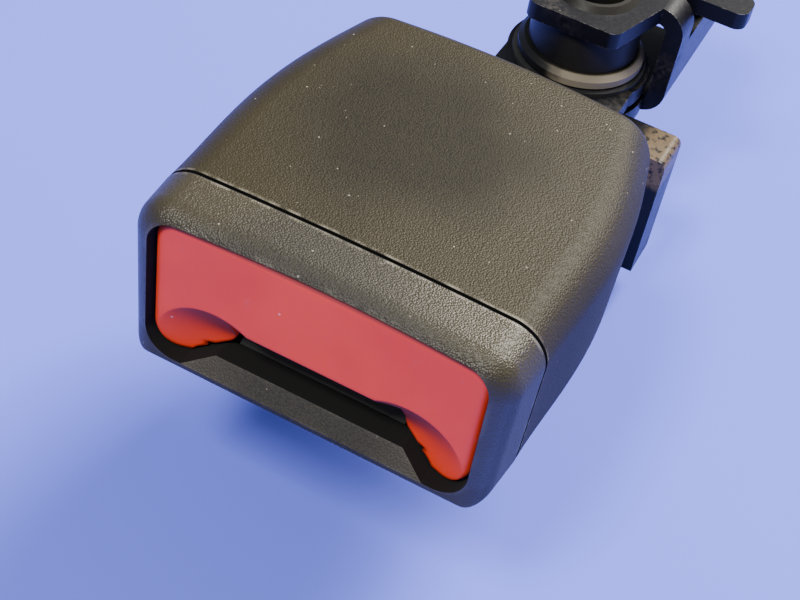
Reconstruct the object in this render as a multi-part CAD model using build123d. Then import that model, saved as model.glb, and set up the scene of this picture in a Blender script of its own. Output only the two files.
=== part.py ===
from build123d import *
import os

# Seat belt buckle on a swivelling steel stalk. Millimetres, +Z up.
# The origin is the centre of the anchor bolt's bore, halfway through the stalk's eye.
# The buckle head lies towards -Y, its tongue slot faces -Y and the stalk is flat in XY.
# A "depth" runs rearwards from the front rim, a "height" runs up from the head's underside.

# Where the head sits on its stalk
FRONT_TO_AXIS = 94.8          # front rim to the anchor bolt's axis
EYE_HEIGHT = 0.2              # head's underside to the middle of the stalk's eye

# Shared clearances
RUNNING_CLEARANCE = 0.05
SLIDE_CLEARANCE = 0.1
OVERCUT = 1.0                 # how far a cutter runs past what it cuts
NEAR = 0.01                   # tolerance for picking an edge by its position

# Head shell: a front bezel and a rear cover that carries on from it
FRONT_WIDTH = 53.2
SEAM_HEAD_WIDTH = 54.7
HEAD_WIDTH = 55.6
HEAD_HEIGHT = 26.7
HEAD_LENGTH = 56.6
TOP_CROWN = 0.5
TOP_EDGE_RADIUS = 5.3
BOTTOM_EDGE_RADIUS = 3.2
SIDE_LEAN = 0.02              # each side leans in towards the underside, mm per mm
SHOULDER_DEPTH = 20.0         # where the head is widest
WAIST_TO_REAR = 11.6
WAIST_WIDTH = 52.8
REAR_WIDTH = 47.2
REAR_HEIGHT = 25.5
REAR_CROWN = 1.2
REAR_EDGE_RADIUS = 6.8
REAR_BOW = 0.6
REAR_RIM_RADIUS = 2.4         # rounding all round the rear wall
REAR_OVERRUN = 2.0            # how far the tapered shape is drawn past the rear wall
COVER_WALL = 2.0
CORE_RADIUS = 0.8             # least radius inside the shell
NOSE_RADIUS = 4.0             # roll from the sides and top into the button's opening
NOSE_UNDER_RADIUS = 0.9       # roll under the front rim
NOSE_UNDER_OFFSET = 0.02      # keeps the two rolled shapes' sides apart

# Bezel
SEAM_DEPTH = 9.3
SEAM_WIDTH = 0.5
SPIGOT_LENGTH = 4.2
SPIGOT_CLEARANCE = 0.1
LIP_HALF_WIDTH = 13.9         # raised lip below the tongue slot
LIP_FOOT_HALF_WIDTH = 18.0
LIP_HEIGHT = 3.6
LIP_CREST_DEPTH = 2.1
LIP_LENGTH = 5.6
CATCH_WIDTH = 7.0             # snap catch on top of the spigot
CATCH_DEPTH = 1.6
CATCH_PROUD = 0.7
CATCH_ROOT = 0.4              # how far it is sunk into the spigot

# Release button
BUTTON_WIDTH = 46.8
BUTTON_TOP = 25.0
BUTTON_BOTTOM = 1.7
BUTTON_CROWN = 0.9
BUTTON_TOP_RADIUS = 3.2
BUTTON_BOTTOM_RADIUS = 4.2
BUTTON_CORE_RADIUS = 0.6      # least radius inside the hollow back
BUTTON_GAP = 0.3
BUTTON_SETBACK = 1.3          # face behind the bezel's front rim
BUTTON_FLANGE = 2.4
BUTTON_STEP = 1.8             # body behind the flange is this much smaller all round
BUTTON_LENGTH = 10.3
BUTTON_FACE_WALL = 6.5
BUTTON_WALL = 1.3
BUTTON_TRAVEL = 4.5
BUTTON_EDGE_RADIUS = 1.2
NOTCH_HALF_WIDTH = 12.6
NOTCH_TOP = 10.2
NOTCH_SHOULDER = 4.9
NOTCH_FOOT_HALF_WIDTH = 18.4
NOTCH_SHOULDER_RADIUS = 1.6
NOTCH_FOOT_RADIUS = 2.4
NOTCH_LIP_RADIUS = 0.7
SCOOP_RADIUS = 9.0            # at the button's face
SCOOP_MIDDLE = 13.9
SCOOP_HEIGHT = 3.0
SCOOP_DEPTH = 3.8
SCOOP_TIP_RADIUS = 0.6        # its tip leans towards the end of the tongue slot
SCOOP_TIP_MIDDLE = 11.8
SCOOP_TIP_HEIGHT = 5.2
ARM_GAP = 0.4
ARM_THICKNESS = 2.0
ARM_HALF_HEIGHT = 2.9
ARM_TIP = 1.3                 # of the arm behind the lock bar

# Tongue guide
GUIDE_LEAD_IN = 1.5
GUIDE_RISER = 1.2             # room for its riser between the spigot and the frame
GUIDE_FOOT_WIDTH = 16.0
GUIDE_FOOT_REACH = 3.0

# Frame: a folded steel channel
SHEET = 2.2
CHANNEL_WIDTH = 27.0
FRAME_BASE_HEIGHT = 3.0
FRAME_TOP = 21.2
FRAME_FRONT_DEPTH = SEAM_DEPTH + SPIGOT_LENGTH + GUIDE_RISER
FRAME_NOSE_LENGTH = 2.0
FRAME_NOSE_WIDTH = 25.0
FRAME_REAR_GAP = 0.8          # to the cover's rear wall
FRAME_REAR_DEPTH = HEAD_LENGTH - COVER_WALL - FRAME_REAR_GAP
FRAME_BEND_RADIUS = 1.6
FRAME_REAR_TOP = 12.0
FRAME_SLOPE_LENGTH = 8.6
EAR_SETBACK = 7.3             # from the front of the frame's walls
EAR_REACH = 7.4
EAR_HEIGHT = 7.0

# Ejector
EJECTOR_SETBACK = 1.6         # from the front of the frame
EJECTOR_FRONT_DEPTH = FRAME_FRONT_DEPTH + EJECTOR_SETBACK
EJECTOR_HEIGHT = 3.7
EJECTOR_PRONG_LENGTH = 10.0
EJECTOR_BLOCK_LENGTH = 6.0
EJECTOR_CLEARANCE = 0.3
EJECTOR_CHAMFER = 0.6
EJECTOR_GROOVE_START = 2.0    # spring groove: wall in front of it and floor under it
EJECTOR_GROOVE_FLOOR = 0.6

# Latch, its pivot and its lock bar
PIVOT_TO_REAR = 11.3          # pivot to the rear of the frame
PIVOT_DEPTH = FRAME_REAR_DEPTH - PIVOT_TO_REAR
PIVOT_HEIGHT = 13.5
PIVOT_RADIUS = 2.0
PIVOT_HEAD_RADIUS = 2.6
PIVOT_HEAD_HEIGHT = 1.2
BOSS_RADIUS = 3.8
LATCH_SWING = 11.5            # degrees between raised and engaged
LATCH_THICKNESS = 3.0
LATCH_WIDTH = 14.0
LATCH_FLOOR = 9.6             # underside of the engaged latch
HOOK_SETBACK = 4.0            # from the front of the ejector's prongs
HOOK_FRONT_DEPTH = EJECTOR_FRONT_DEPTH + HOOK_SETBACK
HOOK_LENGTH = 4.0
HOOK_WIDTH = 10.0
HOOK_TIP = 4.8
HOOK_SLANT = 0.8
HOOK_ROOM = 1.5               # in the frame's hole, before and behind the hook
NOSE_TOP = 15.2
NOSE_LENGTH = 6.0
NOSE_BEVEL = 1.0
BAR_RADIUS = 1.75
BAR_CHAMFER = 0.35
BAR_CLEARANCE = 0.5           # between the engaged latch and the bar
BAR_SETBACK = 6.0             # bar at rest behind the latch's nose
BAR_REST_DEPTH = HOOK_FRONT_DEPTH + NOSE_LENGTH + BAR_SETBACK
BAR_TRAVEL = 7.0
BAR_OVERHANG = 0.7

# Springs
BUTTON_SPRING_RADIUS = 1.6
BUTTON_SPRING_WIRE = 0.6
BUTTON_SPRING_TURNS = 6
BUTTON_SPRING_SIDE_GAP = 0.5  # to the frame's wall
BUTTON_SPRING_HEIGHT = 10.8
SPRING_SPIGOT_LENGTH = 2.5
EJECTOR_SPRING_RADIUS = 1.3
EJECTOR_SPRING_WIRE = 0.5
EJECTOR_SPRING_TURNS = 8
LATCH_SPRING_WIRE = 0.7
LATCH_SPRING_PITCH = 0.91
LATCH_SPRING_TURNS = 3
LATCH_SPRING_LEG = 9.0
SPRING_END_GAP = 0.05

# Stalk
STRAP_THICKNESS = 3.0
STRAP_WIDTH = 23.0
EYE_RADIUS = 12.2
JOGGLE_SETBACK = 2.4          # from the rear of the head
JOGGLE_LENGTH = 8.0
RIVET_RADIUS = 3.0
RIVET_HEAD_RADIUS = 4.4
RIVET_HEAD_HEIGHT = 1.5
RIVET_CROWN_RADIUS = 0.9
RIVET_SPACING = 12.0
RIVET_TO_REAR = 4.6           # rivets to the rear of the frame
RIVET_DEPTH = FRAME_REAR_DEPTH - RIVET_TO_REAR
RIVET_TO_FRONT = 5.0          # rivets to the front end of the stalk
STRAP_FRONT_DEPTH = RIVET_DEPTH - RIVET_TO_FRONT
SLOT_CLEARANCE = 0.5

# Anchor bush, its bearing and washers
BOLT_HOLE_RADIUS = 5.75
BUSH_RADIUS = 7.4             # where the bearing turns on it
BUSH_FLANGE_RADIUS = 10.7
BUSH_FLANGE_THICKNESS = 2.0
BUSH_FLANGE_CHAMFER = 0.8
BUSH_NECK_RADIUS = 9.2
BUSH_NECK_HEIGHT = 7.4
BUSH_SWAGE = 0.9              # upset rim at each end, as high as it is wide
BEARING_WALL = 1.3
BEARING_COLLAR_RADIUS = 11.4
BEARING_COLLAR_THICKNESS = 0.8
WEAR_WASHER_RADIUS = 10.8
WEAR_WASHER_THICKNESS = 0.8
SPRING_WASHER_THICKNESS = 0.4

# Anchor bracket: one C-shaped pressing around the bush
BRACKET_SHEET = 3.0
BRACKET_BEND = 1.5            # inner radius of each fold
WEB_GAP = 0.6                 # between the stalk's eye and the upright web
WEB_FRONT = 1.5
WEB_REAR = 36.0
TOP_FRONT = -10.3
TOP_FRONT_WIDTH = 15.5
TOP_WAIST = 7.0
TOP_WAIST_HALF_WIDTH = 10.5
TOP_SPREAD = 24.0             # how far the top limb reaches to the left
TOP_SHOULDER = 17.0
BASE_RADIUS = 12.6
BASE_REAR = 22.0
TAB_FRONT = 8.0
TAB_WIDTH = 6.0
TAB_REACH = 7.8
TAB_RELIEF = 1.0              # slit on each side of the tab
LEG_FRONT = -13.0
LEG_WIDTH = 8.0
LEG_STEP = 6.3                # from the web's outer face to the leg's outer face
LEG_FOOT = -27.0
BRACKET_CORNER_RADIUS = 2.0

# Underside cover
HATCH_HALF_WIDTH = 20.0
HATCH_FRONT_SETBACK = 1.8     # from the front of the frame
HATCH_REAR_SETBACK = 3.6      # from the rear of the frame
HATCH_FRONT_DEPTH = FRAME_FRONT_DEPTH + HATCH_FRONT_SETBACK
HATCH_REAR_DEPTH = FRAME_REAR_DEPTH - HATCH_REAR_SETBACK
HATCH_CLEARANCE = 0.15
HATCH_CORNER_RADIUS = 3.0
HATCH_RIB = 1.2
HATCH_RIB_INSET = 6.0
HATCH_HOOK_WIDTH = 8.0
HATCH_HOOK_HEIGHT = 3.0


def depth(value):
    """Y of a point this far behind the front rim."""
    return value - FRONT_TO_AXIS


def height(value):
    """Z of a point this far above the head's underside."""
    return value - EYE_HEIGHT


def across(y):
    """Plane across the head at y: its X is +X and its Y is +Z."""
    return Plane(origin=(0, y, 0), x_dir=(1, 0, 0), z_dir=(0, -1, 0))


def along(x):
    """Plane along the head at x: its X is +Y and its Y is +Z."""
    return Plane(origin=(x, 0, 0), x_dir=(0, 1, 0), z_dir=(1, 0, 0))


def block(x0, x1, y0, y1, z0, z1):
    """Box between two corners."""
    box = Box(x1 - x0, y1 - y0, z1 - z0, align=(Align.MIN, Align.MIN, Align.MIN))
    return Pos(x0, y0, z0) * box


def rod(radius, x0, x1, y, z):
    """Cylinder along X."""
    return extrude(along(x0) * Pos(y, z) * Circle(radius), x1 - x0)


def post(radius, z0, z1, x=0.0, y=0.0):
    """Cylinder along Z."""
    return Pos(x, y, z0) * Cylinder(radius, z1 - z0, align=(Align.CENTER, Align.CENTER, Align.MIN))


def mirrored(shape):
    """The shape and its mirror image across the head's middle plane."""
    return shape + mirror(shape, Plane.YZ)


# ---------------------------------------------------------------- head shell

def head_section(half, low, high, crown, top_radius, bottom_radius):
    """Cross-section of the head: crowned top, leaning sides, rounded corners."""
    shoulder = high - crown
    foot = half - SIDE_LEAN * (shoulder - low)
    sides = Polyline((-half, shoulder), (-foot, low), (foot, low), (half, shoulder))
    lid = ThreePointArc((half, shoulder), (0, high), (-half, shoulder))
    face = make_face(sides + lid)
    face = fillet(face.vertices().sort_by(Axis.Y)[2:], max(top_radius, CORE_RADIUS))
    return fillet(face.vertices().sort_by(Axis.Y)[:2], max(bottom_radius, CORE_RADIUS))


def head_station(station, width, inset, rise=0.0, drop=0.0):
    """Cross-section of the head at a depth, set in by inset, or drawn out upwards or downwards."""
    share = station / HEAD_LENGTH
    top = HEAD_HEIGHT + (REAR_HEIGHT - HEAD_HEIGHT) * share + rise
    crown = TOP_CROWN + (REAR_CROWN - TOP_CROWN) * share
    radius = TOP_EDGE_RADIUS + (REAR_EDGE_RADIUS - TOP_EDGE_RADIUS) * share
    half = width / 2 + SIDE_LEAN * rise - inset
    section = head_section(half, height(inset) - drop, height(top - inset),
                           crown, radius - inset, BOTTOM_EDGE_RADIUS - inset)
    return across(depth(station)) * section


def head_loft(inset, front):
    """Solid of the rear half of the head, set in by inset, from depth front rearwards."""
    waist = HEAD_LENGTH - WAIST_TO_REAR
    taper = (WAIST_WIDTH - REAR_WIDTH) / WAIST_TO_REAR
    widths = [
        (front, SEAM_HEAD_WIDTH),
        (SHOULDER_DEPTH, HEAD_WIDTH),
        (waist, WAIST_WIDTH),
        (HEAD_LENGTH, REAR_WIDTH),
        (HEAD_LENGTH + REAR_OVERRUN, REAR_WIDTH - taper * REAR_OVERRUN),
    ]
    return loft([head_station(station, width, inset) for station, width in widths])


def head_plan(inset):
    """Prism with the head's plan outline: a bowed rear edge with rounded corners."""
    half = HEAD_WIDTH / 2 + OVERCUT
    side_end = depth(HEAD_LENGTH - REAR_BOW) - inset
    sides = Polyline((-half, side_end), (-half, depth(0)), (half, depth(0)), (half, side_end))
    rear = ThreePointArc((half, side_end), (0, depth(HEAD_LENGTH) - inset), (-half, side_end))
    prism = extrude(make_face(sides + rear), HEAD_HEIGHT * 2)
    return Pos(0, 0, height(-HEAD_HEIGHT / 2)) * prism


def rear_shell(inset, front):
    """Rear of the head as one solid, set in by inset, with its rear rim rounded."""
    solid = head_loft(inset, front) & head_plan(inset)
    rear_wall = solid.faces().sort_by(Axis.Y)[-1]
    return fillet(rear_wall.edges(), max(REAR_RIM_RADIUS - inset, CORE_RADIUS))


def rolled_front(end, widening, rise, drop, radius):
    """Front of the head with an edge of one radius rolled all round its front face."""
    sections = [head_station(0, FRONT_WIDTH + widening, 0.0, rise, drop),
                head_station(end, SEAM_HEAD_WIDTH + widening, 0.0, rise, drop)]
    body = loft(sections, ruled=True)
    return fillet(body.faces().sort_by(Axis.Y)[0].edges(), radius)


def nose(end):
    """Front of the head: a wide roll at the top and sides, a narrow one underneath."""
    upper = rolled_front(end, 0.0, 0.0, HEAD_HEIGHT, NOSE_RADIUS)
    return upper & rolled_front(end, 2 * NOSE_UNDER_OFFSET, HEAD_HEIGHT, 0.0, NOSE_UNDER_RADIUS)


def strap_slot():
    """Slot in the rear wall that the stalk comes out through."""
    half = STRAP_WIDTH / 2 + SLOT_CLEARANCE
    low = strap_floor() - SLOT_CLEARANCE
    high = strap_floor() + STRAP_THICKNESS + SLOT_CLEARANCE
    return block(-half, half, depth(HEAD_LENGTH - WAIST_TO_REAR), depth(HEAD_LENGTH) + OVERCUT, low, high)


def hatch_outline(clearance):
    """Plan of the opening in the underside."""
    length = HATCH_REAR_DEPTH - HATCH_FRONT_DEPTH
    middle = depth((HATCH_REAR_DEPTH + HATCH_FRONT_DEPTH) / 2)
    width = HATCH_HALF_WIDTH * 2
    corner = HATCH_CORNER_RADIUS
    outline = RectangleRounded(width - 2 * clearance, length - 2 * clearance, corner)
    return Pos(0, middle, height(0)) * outline


def catch(grow):
    """Snap catch on top of the spigot, or its pocket in the cover when grown."""
    start = depth(SEAM_DEPTH + SPIGOT_LENGTH - 2 * CATCH_DEPTH) - grow
    half = CATCH_WIDTH / 2 + grow
    spigot_top = height(HEAD_HEIGHT - COVER_WALL - SPIGOT_CLEARANCE)
    return block(-half, half, start, start + CATCH_DEPTH + 2 * grow,
                 spigot_top - CATCH_ROOT, spigot_top + CATCH_PROUD + grow)


def make_rear_cover():
    """Moulded cover: a tapering open box with a slotted rear wall and an open underside."""
    cover = rear_shell(0.0, SEAM_DEPTH + SEAM_WIDTH / 2) - rear_shell(COVER_WALL, SEAM_DEPTH - OVERCUT)
    cover -= strap_slot()
    cover -= extrude(hatch_outline(0.0), COVER_WALL)
    cover -= catch(SLIDE_CLEARANCE)
    return cover


def make_bottom_cover():
    """Lid let into the underside, with cross ribs under the frame and two side hooks."""
    lid = extrude(hatch_outline(HATCH_CLEARANCE), COVER_WALL)
    rib_half = CHANNEL_WIDTH / 2
    middle = (HATCH_FRONT_DEPTH + HATCH_REAR_DEPTH) / 2
    for station in (HATCH_FRONT_DEPTH + HATCH_RIB_INSET, middle, HATCH_REAR_DEPTH - HATCH_RIB_INSET):
        lid += block(-rib_half, rib_half, depth(station), depth(station) + HATCH_RIB,
                     height(COVER_WALL / 2), height(FRAME_BASE_HEIGHT))
    edge = HATCH_HALF_WIDTH - HATCH_CLEARANCE
    start = depth(middle - HATCH_HOOK_WIDTH / 2)
    end = depth(middle + HATCH_HOOK_WIDTH / 2)
    stem = block(edge - HATCH_RIB, edge, start, end, height(COVER_WALL / 2),
                 height(COVER_WALL + HATCH_HOOK_HEIGHT))
    barb = block(edge - HATCH_RIB / 2, edge + HATCH_RIB / 2, start, end,
                 height(COVER_WALL + SLIDE_CLEARANCE), height(COVER_WALL + HATCH_RIB))
    return lid + mirrored(stem + barb)


# ---------------------------------------------------------------- bezel and button

def button_outline(grow):
    """Front outline of the button, or of the opening around it when grown."""
    half = BUTTON_WIDTH / 2 + grow
    low = height(BUTTON_BOTTOM) - grow
    high = height(BUTTON_TOP) + grow
    shoulder = high - BUTTON_CROWN
    sides = Polyline((-half, shoulder), (-half, low), (half, low), (half, shoulder))
    lid = ThreePointArc((half, shoulder), (0, high), (-half, shoulder))
    face = make_face(sides + lid)
    top_radius = max(BUTTON_TOP_RADIUS + grow, BUTTON_CORE_RADIUS)
    bottom_radius = max(BUTTON_BOTTOM_RADIUS + grow, BUTTON_CORE_RADIUS)
    face = fillet(face.vertices().sort_by(Axis.Y)[2:], top_radius)
    return fillet(face.vertices().sort_by(Axis.Y)[:2], bottom_radius)


def prism_across(face, start, end):
    """Prism of a cross-section between two depths."""
    return extrude(across(depth(end)) * face, end - start)


def opening_floor():
    """Z of the lower edge of the bezel's opening."""
    return height(BUTTON_BOTTOM) - BUTTON_GAP


def lip():
    """Raised lip under the tongue slot: sloping ends, and a wedge off its front as a lead-in."""
    floor = opening_floor()
    root = floor - BUTTON_GAP
    crest = height(LIP_HEIGHT)
    outline = make_face(Polyline((-LIP_FOOT_HALF_WIDTH, floor), (-LIP_HALF_WIDTH, crest),
                                 (LIP_HALF_WIDTH, crest), (LIP_FOOT_HALF_WIDTH, floor),
                                 (LIP_FOOT_HALF_WIDTH, root), (-LIP_FOOT_HALF_WIDTH, root), close=True))
    side = make_face(Polyline((depth(0), root), (depth(0), floor), (depth(LIP_CREST_DEPTH), crest),
                              (depth(LIP_LENGTH), crest), (depth(LIP_LENGTH), root), close=True))
    return prism_across(outline, 0, LIP_LENGTH) & extrude(along(-HEAD_WIDTH / 2) * side, HEAD_WIDTH)


def make_front_bezel():
    """Front ring: rolled nose, opening for the button, tongue lip, spigot and snap catch."""
    front_end = SEAM_DEPTH - SEAM_WIDTH / 2
    spigot_end = SEAM_DEPTH + SPIGOT_LENGTH
    spigot = [head_station(station, SEAM_HEAD_WIDTH, COVER_WALL + SPIGOT_CLEARANCE)
              for station in (front_end - OVERCUT, spigot_end)]
    bezel = nose(front_end) + loft(spigot, ruled=True) + catch(0.0)
    bezel -= prism_across(button_outline(2 * BUTTON_GAP - BUTTON_STEP), -OVERCUT, spigot_end + OVERCUT)
    pocket_end = BUTTON_SETBACK + BUTTON_FLANGE + BUTTON_TRAVEL + BUTTON_GAP
    bezel -= prism_across(button_outline(BUTTON_GAP), -OVERCUT, pocket_end)
    return bezel + lip()


def bezel_body_floor():
    """Z of the floor of the bezel's passage behind the button's flange."""
    return height(BUTTON_BOTTOM + BUTTON_STEP - 2 * BUTTON_GAP)


def notch_outline():
    """Arch in the button that the tongue passes under, with flared feet."""
    points = [(-NOTCH_FOOT_HALF_WIDTH, height(BUTTON_BOTTOM)),
              (-NOTCH_HALF_WIDTH, height(NOTCH_SHOULDER)),
              (-NOTCH_HALF_WIDTH, height(NOTCH_TOP)),
              (NOTCH_HALF_WIDTH, height(NOTCH_TOP)),
              (NOTCH_HALF_WIDTH, height(NOTCH_SHOULDER)),
              (NOTCH_FOOT_HALF_WIDTH, height(BUTTON_BOTTOM)),
              (NOTCH_FOOT_HALF_WIDTH, height(0)),
              (-NOTCH_FOOT_HALF_WIDTH, height(0))]
    face = make_face(Polyline(*points, close=True))
    shoulders = face.vertices().filter_by(lambda v: abs(v.Y - height(NOTCH_SHOULDER)) < NEAR)
    face = fillet(shoulders, NOTCH_SHOULDER_RADIUS)
    feet = face.vertices().filter_by(lambda v: abs(v.Y - height(BUTTON_BOTTOM)) < NEAR)
    return fillet(feet, NOTCH_FOOT_RADIUS)


def scoop():
    """Leaning cone that dishes one lobe towards the end of the tongue slot."""
    mouth = Pos(SCOOP_MIDDLE, height(SCOOP_HEIGHT)) * Circle(SCOOP_RADIUS)
    tip = Pos(SCOOP_TIP_MIDDLE, height(SCOOP_TIP_HEIGHT)) * Circle(SCOOP_TIP_RADIUS)
    ends = [across(depth(BUTTON_SETBACK)) * mouth, across(depth(BUTTON_SETBACK + SCOOP_DEPTH)) * tip]
    return loft(ends, ruled=True)


def make_release_button():
    """Push button with two lobes, a hollow back and two arms that carry the lock bar."""
    face_depth = BUTTON_SETBACK
    rear_depth = face_depth + BUTTON_LENGTH
    button = prism_across(button_outline(0.0), face_depth, face_depth + BUTTON_FLANGE)
    button = fillet(button.faces().sort_by(Axis.Y)[0].edges(), BUTTON_EDGE_RADIUS)
    button += prism_across(button_outline(-BUTTON_STEP), face_depth + BUTTON_FLANGE / 2, rear_depth)
    hollow = button_outline(-BUTTON_STEP - BUTTON_WALL)
    button -= prism_across(hollow, face_depth + BUTTON_FACE_WALL, rear_depth + OVERCUT) - notch_walls()
    button -= prism_across(notch_outline(), 0, rear_depth + OVERCUT)
    notch_edges = button.edges().filter_by(Axis.X)
    notch_edges = notch_edges.filter_by(lambda e: abs(e.center().Z - height(NOTCH_TOP)) < NEAR)
    button = fillet(notch_edges.sort_by(Axis.Y)[0], NOTCH_LIP_RADIUS)
    button -= mirrored(scoop())
    return button + mirrored(button_arm() + spring_spigot())


def notch_walls():
    """Walls left around the notch when the button's back is hollowed."""
    half = NOTCH_HALF_WIDTH + BUTTON_WALL
    foot = NOTCH_FOOT_HALF_WIDTH + BUTTON_WALL
    top = height(NOTCH_TOP) + BUTTON_WALL
    outline = Polyline((-foot, height(BUTTON_BOTTOM)), (-half, height(NOTCH_SHOULDER) + BUTTON_WALL),
                       (-half, top), (half, top), (half, height(NOTCH_SHOULDER) + BUTTON_WALL),
                       (foot, height(BUTTON_BOTTOM)), (foot, height(0)), (-foot, height(0)), close=True)
    return prism_across(make_face(outline), 0, BUTTON_SETBACK + BUTTON_LENGTH + OVERCUT)


def arm_inner():
    """X of the inner face of a button arm, just outside the frame's wall."""
    return CHANNEL_WIDTH / 2 + SHEET + ARM_GAP


def button_arm():
    """Arm beside the frame, with the slot that the lock bar slides in."""
    start = depth(BUTTON_SETBACK + BUTTON_FACE_WALL) - OVERCUT
    end = depth(BAR_REST_DEPTH) + BAR_RADIUS + ARM_TIP
    inner = arm_inner()
    middle = bar_height()
    arm = block(inner, inner + ARM_THICKNESS, start, end,
                middle - ARM_HALF_HEIGHT, middle + ARM_HALF_HEIGHT)
    slot_length = BAR_TRAVEL + 2 * (BAR_RADIUS + RUNNING_CLEARANCE)
    slot_middle = depth(BAR_REST_DEPTH - BAR_TRAVEL / 2)
    slot = SlotOverall(slot_length, 2 * (BAR_RADIUS + RUNNING_CLEARANCE))
    side = along(inner - OVERCUT) * Pos(slot_middle, middle) * slot
    cutter = extrude(side, ARM_THICKNESS + 2 * OVERCUT)
    return arm - cutter


def button_spring_offset():
    """X of the right-hand return spring's axis, beside the frame's wall."""
    wall = CHANNEL_WIDTH / 2 + SHEET
    return wall + BUTTON_SPRING_SIDE_GAP + BUTTON_SPRING_RADIUS + BUTTON_SPRING_WIRE / 2


def spring_spigot():
    """Peg that centres a return spring on the back of a lobe."""
    start = depth(BUTTON_SETBACK + BUTTON_FACE_WALL)
    radius = BUTTON_SPRING_RADIUS - BUTTON_SPRING_WIRE
    peg = Pos(button_spring_offset(), height(BUTTON_SPRING_HEIGHT)) * Circle(radius)
    return extrude(across(start + SPRING_SPIGOT_LENGTH) * peg, SPRING_SPIGOT_LENGTH + OVERCUT)


# ---------------------------------------------------------------- frame and latch works

def frame_floor():
    """Z of the upper face of the frame's base, which the tongue slides on."""
    return height(FRAME_BASE_HEIGHT) + SHEET


def bar_height():
    """Z of the lock bar's axis."""
    return height(NOSE_TOP) + BAR_CLEARANCE + BAR_RADIUS


def strap_floor():
    """Z of the stalk's underside where it lies in the frame."""
    return frame_floor()


def ear_front():
    """Y of the front face of the frame's spring ears."""
    return depth(FRAME_FRONT_DEPTH + FRAME_NOSE_LENGTH + EAR_SETBACK)


def make_buckle_frame():
    """Pressed steel channel: tongue bed, side walls with bar slots and pivot holes, spring ears."""
    half = CHANNEL_WIDTH / 2 + SHEET
    low = height(FRAME_BASE_HEIGHT)
    top = height(FRAME_TOP)
    outline = Polyline((-half, top), (-half, low), (half, low), (half, top),
                       (half - SHEET, top), (half - SHEET, low + SHEET),
                       (-half + SHEET, low + SHEET), (-half + SHEET, top), close=True)
    face = make_face(outline)
    outer_corners = face.vertices().filter_by(lambda v: abs(v.Y - low) < NEAR)
    face = fillet(outer_corners, FRAME_BEND_RADIUS)
    wall_depth = FRAME_FRONT_DEPTH + FRAME_NOSE_LENGTH
    frame = prism_across(face, wall_depth, FRAME_REAR_DEPTH)
    nose_half = FRAME_NOSE_WIDTH / 2
    frame += block(-nose_half, nose_half, depth(FRAME_FRONT_DEPTH), depth(wall_depth) + OVERCUT,
                   low, low + SHEET)
    slope = depth(FRAME_REAR_DEPTH - FRAME_SLOPE_LENGTH)
    rear = depth(FRAME_REAR_DEPTH)
    rear_top = height(FRAME_REAR_TOP)
    rear_drop = Polyline((slope, top + OVERCUT), (slope, top), (rear, rear_top),
                         (rear + OVERCUT, rear_top), (rear + OVERCUT, top + OVERCUT), close=True)
    frame -= extrude(along(-HEAD_WIDTH / 2) * make_face(rear_drop), HEAD_WIDTH)
    slot_travel = BAR_TRAVEL + BUTTON_TRAVEL
    slot_middle = depth(BAR_REST_DEPTH + (BUTTON_TRAVEL - BAR_TRAVEL) / 2)
    slot_width = 2 * (BAR_RADIUS + RUNNING_CLEARANCE)
    slot = SlotOverall(slot_travel + slot_width, slot_width)
    frame -= extrude(along(-HEAD_WIDTH / 2) * Pos(slot_middle, bar_height()) * slot, HEAD_WIDTH)
    frame -= rod(PIVOT_RADIUS + RUNNING_CLEARANCE / 2, -half - OVERCUT, half + OVERCUT,
                 depth(PIVOT_DEPTH), height(PIVOT_HEIGHT))
    hook_room = HOOK_WIDTH / 2 + EJECTOR_CLEARANCE
    frame -= block(-hook_room, hook_room, depth(HOOK_FRONT_DEPTH - HOOK_ROOM),
                   depth(HOOK_FRONT_DEPTH + HOOK_LENGTH + HOOK_ROOM),
                   low - OVERCUT, low + SHEET + OVERCUT)
    for x in (-RIVET_SPACING / 2, RIVET_SPACING / 2):
        frame -= post(RIVET_RADIUS + RUNNING_CLEARANCE, low - OVERCUT, low + SHEET + OVERCUT,
                      x, depth(RIVET_DEPTH))
    ear = block(half - SHEET, half + EAR_REACH, ear_front(), ear_front() + SHEET,
                height(BUTTON_SPRING_HEIGHT - EAR_HEIGHT / 2),
                height(BUTTON_SPRING_HEIGHT + EAR_HEIGHT / 2))
    return frame + mirrored(ear)


def make_tongue_guide():
    """Moulded sill that leads the tongue from the bezel's lip onto the frame, hooked under it."""
    half = FRAME_NOSE_WIDTH / 2 - SLIDE_CLEARANCE
    low = bezel_body_floor()
    top = frame_floor() - SLIDE_CLEARANCE
    end = depth(FRAME_FRONT_DEPTH) - RUNNING_CLEARANCE
    sill = block(-half, half, depth(LIP_LENGTH) + SLIDE_CLEARANCE, end, low, top)
    top_front = sill.edges().filter_by(Axis.X).filter_by(lambda e: e.center().Z > top - NEAR)
    sill = chamfer(top_front.sort_by(Axis.Y)[0], GUIDE_LEAD_IN)
    riser_front = depth(SEAM_DEPTH + SPIGOT_LENGTH) + SLIDE_CLEARANCE
    foot_top = height(FRAME_BASE_HEIGHT) - RUNNING_CLEARANCE
    foot_low = height(COVER_WALL) + RUNNING_CLEARANCE
    foot_half = GUIDE_FOOT_WIDTH / 2
    riser = block(-foot_half, foot_half, riser_front, end, foot_low, low)
    foot = block(-foot_half, foot_half, riser_front, end + GUIDE_FOOT_REACH, foot_low, foot_top)
    return sill + riser + foot


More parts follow.
